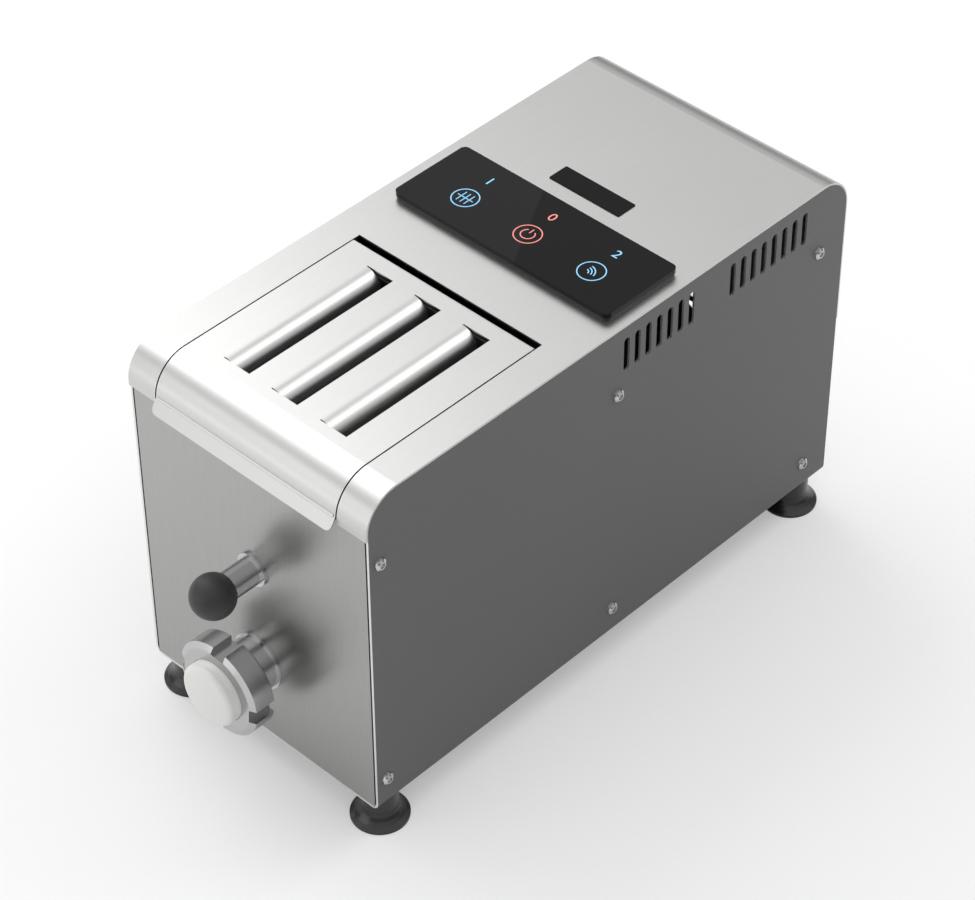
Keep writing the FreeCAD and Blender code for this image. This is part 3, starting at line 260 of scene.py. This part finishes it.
# Body sheets. The hood gives the eye its light silver top, and the lid is a touch brighter beside it.
hoodSteel = brushedSteel("hoodBrushedSteel", "#c9c9c8", 0.34, "y")
lidSteel = brushedSteel("lidBrushedSteel", "#cbcbca", 0.33, "y")
# The front panel is darker, with upright streaks that can be seen.
panelSteel = brushedSteel("frontPanelBrushedSteel", "#a8a8a7", 0.31, "z", contrast=0.12, relief=0.08)
# Inner sheets show duller through the slots and under the open lid.
innerSteel = brushedSteel("innerSheetSteel", "#a9aaaa", 0.36, "z")
# Side sheets are stainless, their faces given a flat dark grey as painted shade, drawn round by a thin bright
# line of bare edge.
shadedSideSteel = paintedShadeSheet("paintedShadeSideSheet", "#5a5a5a", "#e4e4e2")

# Turned pieces. The pin and the neck are near mirrors with soft bands of light along them.
polishedSteel = turnedSteel("polishedTurnedSteel", "#c6c6c6", 0.19)
# The ring nut is a little softer, so its notches read.
nutSteel = turnedSteel("satinTurnedSteel", "#bcbcbc", 0.24)
# Shafts, gears and bearings look ground and greyer.
groundSteel = turnedSteel("groundShaftSteel", "#b4b5b6", 0.28)

# Cast and painted drive parts: pale pebbled metal, and dark paint with a low sheen.
castAluminium = grainedSurface("castAluminium", "#b9babb", 0.42, 500.0, 0.12, Metallic=1.0)
motorPaint = grainedSurface("motorPaint", "#2c2e31", 0.45, 420.0, 0.15)

# Plastics. Plain black mouldings have a fine even grain.
blackPlastic = grainedSurface("mouldedBlackPlastic", "#1d1d1f", 0.42, 700.0, 0.1, IOR=1.49)
# The badge is the deepest black on the hood, with little shine.
badgeEnamel = grainedSurface("badgeEnamel", "#0d0d0e", 0.3, 500.0, 0.03, Specular_IOR_Level=0.12)
# The ball knob is charcoal, its coarse grain breaking up the highlight.
knobPlastic = grainedSurface("grainedKnobPlastic", "#2a2a2b", 0.5, 1100.0, 0.9, IOR=1.5)
# The plug is milky white, and light enters it a little.
whitePlastic = grainedSurface("whiteFoodPlastic", "#dededb", 0.34, 300.0, 0.04, 0.03, IOR=1.5,
                              Subsurface_Weight=0.15, Subsurface_Radius=[0.004, 0.004, 0.004])
# The circuit boards are glossy green.
boardLacquer = grainedSurface("boardLacquer", "#1d5a36", 0.3, 260.0, 0.08, IOR=1.5)
# Rubber feet and seals are near black with a soft wet edge of light.
softRubber = grainedSurface("softBlackRubber", "#141415", 0.3, 600.0, 0.12, IOR=1.52, Coat_Weight=0.25,
                            Coat_Roughness=0.18)

# The touch panel is a hard black gloss, and its legends are pale blue and salmon.
blackGlass = printedGlass()
blueInk = inkMaterial("paleBlueInk", "#86c8ec")
redInk = inkMaterial("salmonInk", "#e98a80")
print("materials made:", len(bpy.data.materials))

# Finishes of the nodes that come from the CAD, by material
finishes = (
    (hoodSteel, ("hood",)),
    (lidSteel, ("lid",)),
    (panelSteel, ("front_panel",)),
    (shadedSideSteel, ("casing", "rear_panel")),
    (innerSteel, ("bulkhead", "tub_rails", "tub", "mixing_paddle", "lid_hinge_ears")),
    (polishedSteel, ("extrusion_barrel", "barrel_flange", "auger", "mixer_pin", "pin_bush", "side_screws")),
    (nutSteel, ("ring_nut",)),
    (groundSteel, ("lid_hinge_pin", "foot_studs", "mixer_spindle", "drive_shaft", "mixer_gear", "auger_gear",
                   "pinion", "front_bearings", "rear_bearings", "gear_case_pillars", "lid_magnet")),
    (castAluminium, ("front_bearing_plate", "rear_bearing_plate", "gearhead")),
    # The run capacitor takes the dark motor paint as painted shade, so that it shows dark through the side
    # vents.
    (motorPaint, ("run_capacitor", "motor_body", "motor_end_cap", "motor_fan_cover", "motor_cradle")),
    (blackGlass, ("glass_panel",)),
    (blackPlastic, ("control_frame", "power_inlet", "motor_fan", "lid_switch", "board_posts")),
    (knobPlastic, ("ball_knob",)),
    (whitePlastic, ("blank_die",)),
    (boardLacquer, ("control_board", "drive_board")),
    (softRubber, ("suction_feet", "lid_bumpers", "mixer_seal", "auger_seal", "die_seal")),
)
finishOf = {name: material for material, names in finishes for name in names}
for name, piece in nodes.items():
    piece.data.materials.clear()
    piece.data.materials.append(finishOf[name])
print("finishes given:", len(finishOf))

# Legends on the glass, placed from its front edge and its middle
glassLow, glassHigh = (np.array(corner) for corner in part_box("glass_panel"))
frontEdge, legendTop = glassLow[1], glassHigh[2]
legend = {
    "sunk": 0.00005, "height": 0.00012,                 # ink below and above the glass's face
    "keyPlaces": (-0.0594, 0.0038, 0.0667), "keyBack": 0.0302, "ringRadius": 0.0107, "lineWidth": 0.0009,
    "numberPlaces": (-0.060, 0.0035, 0.0672), "numberBack": 0.0569, "numberSize": 0.0125,
    "mixPlaces": (-0.004, 0, 0.004), "mixSteps": (-0.006, -0.002, 0.002, 0.006),
    "mixBar": (-0.0075, 0, 0.0075), "mixWidth": 0.0008,
    "powerRadius": 0.0055, "powerTurn": (-235, 55), "powerBar": (0.0015, 0.004, 0.007),
    "strandRadii": (0.0035, 0.006, 0.0085), "strandCorner": (-0.004, -0.004), "strandTurn": (5, 85),
}


def flatBand(name, path, width, material, closed=False):
    # A drawn line: each path point is moved sideways by half the width, top and bottom, to make a thin closed
    # strip.
    path = np.asarray(path, float)
    ahead = np.roll(path, -1, 0) - np.roll(path, 1, 0)
    if not closed:
        ahead[0], ahead[-1] = path[1] - path[0], path[-1] - path[-2]
    ahead /= np.linalg.norm(ahead, axis=1)[:, None]
    side = np.stack([ahead[:, 1], -ahead[:, 0]], -1) * width / 2
    low, high = legendTop - legend["sunk"], legendTop + legend["height"]
    corners = [np.column_stack([path + s * side, np.full(len(path), z)])
               for s, z in ((1, high), (-1, high), (-1, low), (1, low))]
    faces = [face[::-1] for face in gridFaces(len(path), 4, closeRows=closed, closeColumns=True)]
    if not closed:
        last = 4 * (len(path) - 1)
        faces += [[0, 1, 2, 3], [last + 3, last + 2, last + 1, last]]
    return newPiece(name, np.stack(corners, 1), faces, material, smooth=False)


def circle(centre, radius, start=0, end=360, count=72):
    # Points on a circle or an arc: the centre plus the radius times cosine and sine of the turn.
    turn = np.radians(np.linspace(start, end, count, endpoint=end - start < 360))
    return np.array(centre) + radius * np.stack([np.cos(turn), np.sin(turn)], -1)


def number(name, digit, centre, ink):
    # A plain digit as a raised mesh, its outline turned into vertices before it is placed.
    curve = bpy.data.curves.new(name, "FONT")
    curve.body = digit
    curve.size = legend["numberSize"]
    curve.align_x = curve.align_y = "CENTER"
    curve.extrude = legend["height"] / 2
    draft = bpy.data.objects.new(name + "Draft", curve)
    bpy.context.collection.objects.link(draft)
    bpy.context.view_layer.update()
    mesh = bpy.data.meshes.new_from_object(draft.evaluated_get(bpy.context.evaluated_depsgraph_get()))
    bpy.data.objects.remove(draft)
    mesh.transform(Matrix.Translation((centre[0], centre[1], legendTop + legend["height"] / 2)))
    mesh.materials.clear()
    mesh.materials.append(ink)
    piece = bpy.data.objects.new(name, mesh)
    bpy.context.collection.objects.link(piece)
    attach(piece, "base")
    return piece


inks = (blueInk, redInk, blueInk)
mixKey, powerKey, extrudeKey = [np.array([x, frontEdge + legend["keyBack"]]) for x in legend["keyPlaces"]]
for index, (centre, ink) in enumerate(zip((mixKey, powerKey, extrudeKey), inks)):
    flatBand("keyRing_%d" % index, circle(centre, legend["ringRadius"]), legend["lineWidth"], ink, True)
# Left key: three uprights crossed by one bar, for mixing arms
for index, x in enumerate(legend["mixPlaces"]):
    flatBand("mixMark_%d" % index, [mixKey + [x, y] for y in legend["mixSteps"]], legend["mixWidth"], blueInk)
flatBand("mixBar", [mixKey + [x, 0] for x in legend["mixBar"]], legend["mixWidth"], blueInk)
# Middle key: open ring and upright, the usual power mark
arc = circle(powerKey, legend["powerRadius"], *legend["powerTurn"], 40)
flatBand("powerArc", arc, legend["lineWidth"], redInk)
flatBand("powerBar", [powerKey + [0, y] for y in legend["powerBar"]], legend["lineWidth"], redInk)
# Right key: strands fanning out of a die, drawn as nested quarter arcs
for index, radius in enumerate(legend["strandRadii"]):
    arc = circle(extrudeKey + legend["strandCorner"], radius, *legend["strandTurn"], 24)
    flatBand("strandArc_%d" % index, arc, legend["lineWidth"], blueInk)
for name, digit, x, ink in zip(("numberOne", "numberZero", "numberTwo"), "102", legend["numberPlaces"], inks):
    number(name, digit, (x, frontEdge + legend["numberBack"]), ink)
print("legends drawn")

# Bare badge plate on the hood behind the glass
badge = {
    "left": -0.0376, "right": 0.0324, "front": 0.0974, "back": 0.1169, "corner": 0.0012, "around": 24,
    "thickness": 0.0009, "sunk": 0.00005, "bevel": 0.0003, "bevelStart": 0.7,    # its share of the thickness
}


def badgePlate():
    # Rounded rectangle carried up through a bevelled rim: each level is the outline pulled in by its inset.
    low = np.array([badge["left"], frontEdge + badge["front"]])
    high = np.array([badge["right"], frontEdge + badge["back"]])
    count = badge["around"]
    turn = np.radians(np.arange(count) * 360 / count)
    quarter = np.arange(count) * 4 // count
    corners = np.array([[high[0], high[1]], [low[0], high[1]], [low[0], low[1]], [high[0], low[1]]])[quarter]
    inward = np.array([[-1, -1], [1, -1], [1, 1], [-1, 1]])[quarter]
    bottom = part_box("hood")[1][2] - badge["sunk"]
    radius = badge["corner"]
    rings = []
    for inset, rise in ((0.0, 0.0), (0.0, badge["bevelStart"]), (badge["bevel"], 1.0)):
        ring = corners + inward * (radius + inset) + radius * np.stack([np.cos(turn), np.sin(turn)], -1)
        rings.append(np.column_stack([ring, np.full(count, bottom + rise * badge["thickness"])]))
    faces = gridFaces(3, count, closeColumns=True)
    faces += [list(range(2 * count, 3 * count)), list(range(count - 1, -1, -1))]
    return newPiece("badgePlate", rings, faces, badgeEnamel, smooth=False)


badgePlate()
print("badge plate placed")

# Plug face, turned with a softly rounded rim
plug = {
    "seat": 0.0342, "flange": 0.029, "flangeThickness": 0.0035, "radius": 0.0258, "middle": 0.0006,
    "rimStart": 0.0495, "rimRound": 0.0046, "rimTurn": 78, "rimSteps": 10, "front": 0.0560, "crownSteps": 12,
    "around": 128,
}


def plugPiece():
    # Profile of (depth, radius) turned round the outlet's axis: a quarter round for the rim, then a shallow
    # crown whose depth falls with the square of the radius.
    low, high = (np.array(corner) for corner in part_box("ring_nut"))
    axisX, axisZ = (low[0] + high[0]) / 2, (low[2] + high[2]) / 2
    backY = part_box("blank_die")[1][1] + plug["seat"]
    bend = np.radians(np.linspace(0, plug["rimTurn"], plug["rimSteps"]))
    rimRadius = plug["radius"] - plug["rimRound"] * (1 - np.cos(bend))
    rimDepth = plug["rimStart"] + plug["rimRound"] * np.sin(bend)
    inner = np.linspace(rimRadius[-1], plug["middle"], plug["crownSteps"])[1:]
    crownDepth = plug["front"] - (plug["front"] - rimDepth[-1]) * (inner / rimRadius[-1]) ** 2
    seat, shoulder = plug["seat"], plug["seat"] + plug["flangeThickness"]
    depth = np.concatenate([[seat, seat, shoulder, shoulder], rimDepth, crownDepth])
    radius = np.concatenate([[plug["middle"], plug["flange"], plug["flange"], plug["radius"]], rimRadius,
                             inner])
    count = plug["around"]
    turn = np.linspace(0, 2 * math.pi, count, endpoint=False)
    rings = np.stack([axisX + radius[:, None] * np.cos(turn), np.repeat((backY - depth)[:, None], count, 1),
                      axisZ + radius[:, None] * np.sin(turn)], -1)
    faces = [face[::-1] for face in gridFaces(len(depth), count, closeColumns=True)]
    last = (len(depth) - 1) * count
    faces += [list(range(count)), list(range(last + count - 1, last - 1, -1))]
    piece = newPiece("plugFace", rings, faces, whitePlastic, body="die")
    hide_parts("blank_die")
    return piece


plugPiece()

# Bend of the lid's lip, a thin concave strip that catches the light
lip = {"half": 0.0885, "radius": 0.0026, "proud": 0.00025, "top": 0.3060, "drop": 0.0002, "slope": 32.0,
       "steps": 9, "thickness": 0.0009}


def lipBend():
    # An arc from upright to the lip's slope, carried along the lip, given a thin back so that it is closed.
    turn = np.radians(np.linspace(0, 90 - lip["slope"], lip["steps"]))
    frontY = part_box("hood")[0][1] - lip["proud"]
    y = frontY - lip["radius"] * (1 - np.cos(turn))
    z = lip["top"] - lip["radius"] * np.sin(turn) - lip["drop"]
    face = np.stack([y, z], -1)
    loop = np.concatenate([face, face[::-1] + [lip["thickness"], 0.0]])
    count = len(loop)
    rows = [np.column_stack([np.full(count, x), loop]) for x in (-lip["half"], 0.0, lip["half"])]
    faces = gridFaces(3, count, closeColumns=True)
    faces += [list(range(count - 1, -1, -1)), list(range(2 * count, 3 * count))]
    return newPiece("lipBend", rows, faces, lidSteel, body="lid_body", smooth=False)


lipBend()
print("plug face and lip bend made")

# Camera, from the fit to the photograph in the fit's own axes, then shifted to this frame
view = {
    "centre": (1.292306, -1.103172, 1.785946),
    "right": (0.7232460434, 0.6905804273, -0.0037194185),
    "down": (0.4576995431, -0.4833686688, -0.7462344527),
    "ahead": (-0.5171327576, 0.5380087392, -0.6656728232),
    "focalPixels": 3283.346, "pictureWidth": 975, "sensorWidth": 36, "farthest": 50,
    # The fit's origin lies on the front panel's face at the body's foot.
    "hoodProud": 0.0015, "footHeight": 0.030,
}
camera = bpy.data.objects.new("photoCamera", bpy.data.cameras.new("photoCamera"))
bpy.context.collection.objects.link(camera)
camera.data.lens = view["focalPixels"] / view["pictureWidth"] * view["sensorWidth"]
camera.data.sensor_width = view["sensorWidth"]
camera.data.clip_end = view["farthest"]
turnMatrix = Matrix([[view["right"][i], -view["down"][i], -view["ahead"][i]] for i in range(3)]).to_4x4()
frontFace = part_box("hood")[0][1] + view["hoodProud"]
turnMatrix.translation = Vector(view["centre"]) + Vector((0, frontFace, view["footHeight"]))
camera.matrix_world = turnMatrix
bpy.context.scene.camera = camera
bpy.context.scene.view_settings.view_transform = "Standard"

# Backdrop: white to the camera and through glass, and for the light a sky that rises from grey to white
studio = {"skyLow": 0.16, "skyHigh": 0.92, "skyTop": 0.75, "paper": "#f4f4f4", "paperGlow": 0.31, "half": 6,
          "drop": 0.0003}
world = bpy.data.worlds.new("studioWorld")
bpy.context.scene.world = world
world.use_nodes = True
worldTree = world.node_tree
worldTree.nodes.clear()
ray = addNode(worldTree, "ShaderNodeLightPath")
seen = addNode(worldTree, "ShaderNodeMath", {"operation": "MAXIMUM"},
               {0: ray.outputs["Is Camera Ray"], 1: ray.outputs["Is Transmission Ray"]})
around = addNode(worldTree, "ShaderNodeTexCoord")
upPart = addNode(worldTree, "ShaderNodeSeparateXYZ", links={0: around.outputs["Generated"]})
sky = addNode(worldTree, "ShaderNodeMapRange", {"interpolation_type": "SMOOTHSTEP"},
              {"Value": upPart.outputs[2]}, From_Min=0.0, From_Max=studio["skyTop"], To_Min=studio["skyLow"],
              To_Max=studio["skyHigh"])
level = addNode(worldTree, "ShaderNodeMix", {"data_type": "FLOAT"}, {0: seen.outputs[0], 2: sky.outputs[0]})
level.inputs[3].default_value = 1.0
background = addNode(worldTree, "ShaderNodeBackground", links={"Strength": level.outputs[0]},
                     Color=[1, 1, 1, 1])
addNode(worldTree, "ShaderNodeOutputWorld", links={"Surface": background.outputs[0]})

# Floor: white paper that keeps the shadow, with a share of plain white for the camera alone
floorMaterial = bpy.data.materials.new("studioFloor")
floorMaterial.use_nodes = True
floorTree = floorMaterial.node_tree
floorTree.nodes.clear()
floorRay = addNode(floorTree, "ShaderNodeLightPath")
paper = addNode(floorTree, "ShaderNodeBsdfDiffuse", Color=srgb(studio["paper"]))
bright = addNode(floorTree, "ShaderNodeEmission", Strength=1.0)
share = addNode(floorTree, "ShaderNodeMath", {"operation": "MULTIPLY"},
                {0: floorRay.outputs["Is Camera Ray"]})
share.inputs[1].default_value = studio["paperGlow"]
mixed = addNode(floorTree, "ShaderNodeMixShader",
                links={0: share.outputs[0], 1: paper.outputs[0], 2: bright.outputs[0]})
addNode(floorTree, "ShaderNodeOutputMaterial", links={"Surface": mixed.outputs[0]})
floorMesh = bpy.data.meshes.new("studioFloor")
floorMesh.from_pydata([(x * studio["half"], y * studio["half"], -studio["drop"])
                       for x, y in ((-1, -1), (1, -1), (1, 1), (-1, 1))], [], [(0, 1, 2, 3)])
floorMesh.materials.append(floorMaterial)
floor = bpy.data.objects.new("studioFloor", floorMesh)
bpy.context.collection.objects.link(floor)

# Lamps: a broad one high on the left, a small one from behind for the top's edge, and a low one for the front
lamps = {
    "keyLamp": {"place": (-2.3, 0.1, 2.2), "target": (0, 0, 0.1), "size": 3.0, "power": 42},
    "rimLamp": {"place": (0.75, 1.5, 2.2), "target": (0, 0, 0.3), "size": 1.2, "power": 10},
    "frontLamp": {"place": (-0.9, -2.3, 0.6), "target": (0, 0, 0.15), "size": 1.8, "power": 11},
}


def areaLight(name, place, target, size, power):
    # A square lamp at its place, turned so that its back axis points away from the target.
    data = bpy.data.lights.new(name, "AREA")
    data.size = size
    data.energy = power
    lamp = bpy.data.objects.new(name, data)
    bpy.context.collection.objects.link(lamp)
    lamp.location = place
    lamp.rotation_euler = (Vector(target) - Vector(place)).to_track_quat("-Z", "Y").to_euler()
    return lamp


for name, lamp in lamps.items():
    areaLight(name, **lamp)
print("studio lit")
